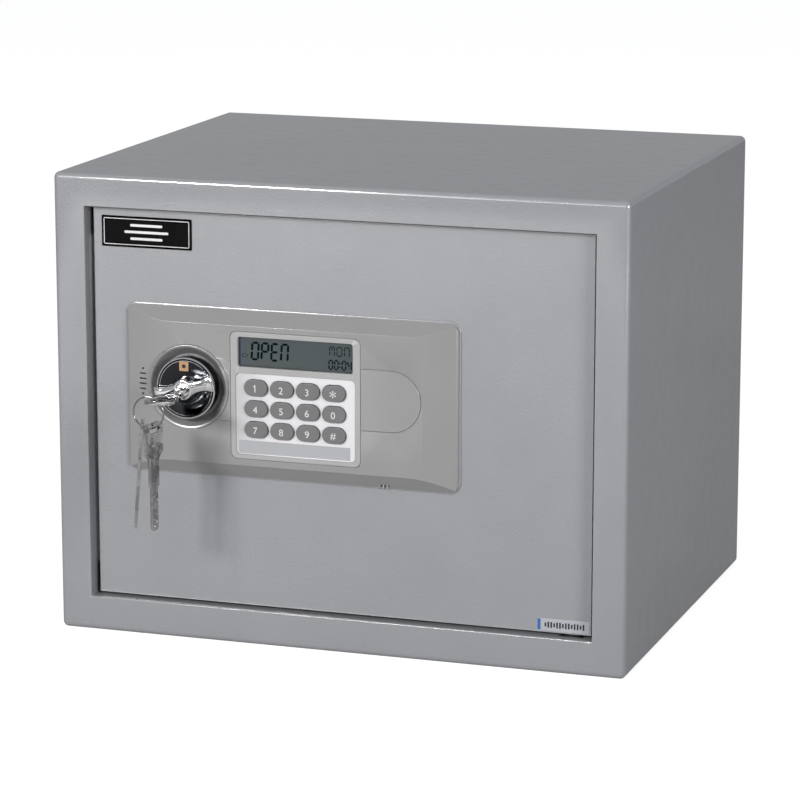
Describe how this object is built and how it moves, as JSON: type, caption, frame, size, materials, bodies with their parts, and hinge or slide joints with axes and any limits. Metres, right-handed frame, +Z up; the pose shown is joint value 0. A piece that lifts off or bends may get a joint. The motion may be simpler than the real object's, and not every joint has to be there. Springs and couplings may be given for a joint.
{
  "type": "in-room safe",
  "caption": "Steel in-room safe with a recessed hinged door, keypad and display panel, turn knob with key override, sliding locking bolts and a ring of spare keys.",
  "frame": {"origin": "centre of the base, on the surface it stands on", "axes": "+Z up, +X to the right seen from the front, +Y towards the back; the door faces -Y and opens on its right edge"},
  "size_m": [0.38, 0.3581, 0.3],
  "materials": {
    "powder_coat": "light grey textured powder coat",
    "zinc_steel": "zinc plated",
    "bolt_steel": "ground and polished",
    "chrome": "polished",
    "key_steel": "nickel plated",
    "brass": "machined",
    "white_nylon": "moulded",
    "panel_grey": "satin moulded",
    "dish_grey": "satin moulded with a bright rim",
    "bezel_silver": "satin moulded",
    "plate_aluminium": "brushed",
    "label_grey": "printed strip",
    "lcd_glass": "clear",
    "lcd_face": "grey green display",
    "cap_rubber": "moulded with printed legends",
    "mat_rubber": "moulded",
    "circuit_board": "solder mask",
    "black_plastic": "moulded",
    "coil_steel": "yoke and taped coil",
    "cell_wrap": "shrink sleeve",
    "ribbon": "flat cable",
    "badge_black": "gloss plate with a bright border",
    "label_white": "blank label",
    "floor_felt": "needle felt",
    "red_button": "moulded"
  },
  "bodies": {
    "body": {"body_shell": "powder_coat", "front_frame": "powder_coat", "back_panel": "powder_coat", "hinge_brackets": "powder_coat", "hinge_pins": "bolt_steel", "thrust_washer": "black_plastic", "door_stop": "powder_coat", "floor_mat": "floor_felt"},
    "door": {"door_plate": "powder_coat", "door_pan": "powder_coat", "hinge_blocks": "zinc_steel", "bolt_bushes": "white_nylon", "guide_studs": "zinc_steel", "solenoid": "coil_steel", "main_board": "circuit_board", "board_standoffs": "brass", "battery_box": "black_plastic", "batteries": "cell_wrap", "door_cover": "powder_coat", "door_screws": "zinc_steel", "knob_bush": "white_nylon", "panel_housing": "panel_grey", "lock_dish": "dish_grey", "blank_cover": "panel_grey", "keypad_bezel": "bezel_silver", "keypad_plate": "plate_aluminium", "name_strip": "label_grey", "lcd_lens": "lcd_glass", "lcd_panel": "lcd_face", "keypad_mat": "mat_rubber", "keypad_board": "circuit_board", "power_socket": "brass", "ribbon_cable": "ribbon", "badge_plate": "badge_black", "data_label": "label_white"},
    "knob": {"turn_knob": "chrome", "drive_cam": "zinc_steel", "spindle_clip": "zinc_steel"},
    "lock": {"lock_plug": "key_steel", "lock_key": "key_steel"},
    "ring": {"key_ring": "key_steel"},
    "spare_a": {"spare_key_a": "key_steel"},
    "spare_b": {"spare_key_b": "key_steel"},
    "bolts": {"bolt_carriage": "zinc_steel", "lock_bolts": "bolt_steel"},
    "plunger": {"solenoid_plunger": "bolt_steel"},
    "reset": {"reset_button": "red_button"},
    "lid": {"battery_lid": "black_plastic"},
    "cap_1": {"key_1": "cap_rubber"},
    "cap_2": {"key_2": "cap_rubber"},
    "cap_3": {"key_3": "cap_rubber"},
    "cap_star": {"key_star": "cap_rubber"},
    "cap_4": {"key_4": "cap_rubber"},
    "cap_5": {"key_5": "cap_rubber"},
    "cap_6": {"key_6": "cap_rubber"},
    "cap_0": {"key_0": "cap_rubber"},
    "cap_7": {"key_7": "cap_rubber"},
    "cap_8": {"key_8": "cap_rubber"},
    "cap_9": {"key_9": "cap_rubber"},
    "cap_hash": {"key_hash": "cap_rubber"}
  },
  "joints": [
    {"name": "door_hinge", "type": "hinge", "parent": "body", "child": "door", "pos_m": [0.1527, -0.1335, 0.15], "axis": [0, 0, 1], "range_deg": [0, 105]},
    {"name": "knob_turn", "type": "hinge", "parent": "door", "child": "knob", "pos_m": [-0.0986, -0.15, 0.1665], "axis": [0, -1, 0], "range_deg": [0, 90]},
    {"name": "bolt_slide", "type": "slide", "parent": "door", "child": "bolts", "axis": [-1, 0, 0], "range_m": [0, 0.016]},
    {"name": "plunger_drop", "type": "slide", "parent": "door", "child": "plunger", "axis": [0, 0, -1], "range_m": [0, 0.005]},
    {"name": "key_turn", "type": "hinge", "parent": "door", "child": "lock", "pos_m": [-0.0986, -0.15, 0.1665], "axis": [0, -1, 0], "range_deg": [0, 90]},
    {"name": "ring_hang", "type": "hinge", "parent": "lock", "child": "ring", "pos_m": [-0.1058, -0.1989, 0.1665], "axis": [0, -1, 0], "range_deg": [-91, 1]},
    {"name": "spare_a_swing", "type": "hinge", "parent": "ring", "child": "spare_a", "pos_m": [-0.1102, -0.1989, 0.15031], "axis": [1, 0, 0], "range_deg": [-20, 20]},
    {"name": "spare_b_swing", "type": "hinge", "parent": "ring", "child": "spare_b", "pos_m": [-0.1028, -0.1989, 0.14976], "axis": [1, 0, 0], "range_deg": [-20, 20]},
    {"name": "reset_press", "type": "slide", "parent": "door", "child": "reset", "axis": [0, -1, 0], "range_m": [0, 0.0012], "stiffness_N_per_m": 400},
    {"name": "lid_slide", "type": "slide", "parent": "door", "child": "lid", "axis": [0, 0, 1], "range_m": [0, 0.06]},
    {"name": "key_1_press", "type": "slide", "parent": "door", "child": "cap_1", "axis": [0, 1, 0], "range_m": [0, 0.0008], "stiffness_N_per_m": 300},
    {"name": "key_2_press", "type": "slide", "parent": "door", "child": "cap_2", "axis": [0, 1, 0], "range_m": [0, 0.0008], "stiffness_N_per_m": 300},
    {"name": "key_3_press", "type": "slide", "parent": "door", "child": "cap_3", "axis": [0, 1, 0], "range_m": [0, 0.0008], "stiffness_N_per_m": 300},
    {"name": "key_star_press", "type": "slide", "parent": "door", "child": "cap_star", "axis": [0, 1, 0], "range_m": [0, 0.0008], "stiffness_N_per_m": 300},
    {"name": "key_4_press", "type": "slide", "parent": "door", "child": "cap_4", "axis": [0, 1, 0], "range_m": [0, 0.0008], "stiffness_N_per_m": 300},
    {"name": "key_5_press", "type": "slide", "parent": "door", "child": "cap_5", "axis": [0, 1, 0], "range_m": [0, 0.0008], "stiffness_N_per_m": 300},
    {"name": "key_6_press", "type": "slide", "parent": "door", "child": "cap_6", "axis": [0, 1, 0], "range_m": [0, 0.0008], "stiffness_N_per_m": 300},
    {"name": "key_0_press", "type": "slide", "parent": "door", "child": "cap_0", "axis": [0, 1, 0], "range_m": [0, 0.0008], "stiffness_N_per_m": 300},
    {"name": "key_7_press", "type": "slide", "parent": "door", "child": "cap_7", "axis": [0, 1, 0], "range_m": [0, 0.0008], "stiffness_N_per_m": 300},
    {"name": "key_8_press", "type": "slide", "parent": "door", "child": "cap_8", "axis": [0, 1, 0], "range_m": [0, 0.0008], "stiffness_N_per_m": 300},
    {"name": "key_9_press", "type": "slide", "parent": "door", "child": "cap_9", "axis": [0, 1, 0], "range_m": [0, 0.0008], "stiffness_N_per_m": 300},
    {"name": "key_hash_press", "type": "slide", "parent": "door", "child": "cap_hash", "axis": [0, 1, 0], "range_m": [0, 0.0008], "stiffness_N_per_m": 300}
  ],
  "couplings": [
    {"joint": "knob_turn", "follows": "bolt_slide", "rad_per_m": 98},
    {"joint": "plunger_drop", "follows": "bolt_slide", "ratio": 0.3125},
    {"joint": "ring_hang", "follows": "key_turn", "ratio": -1}
  ]
}
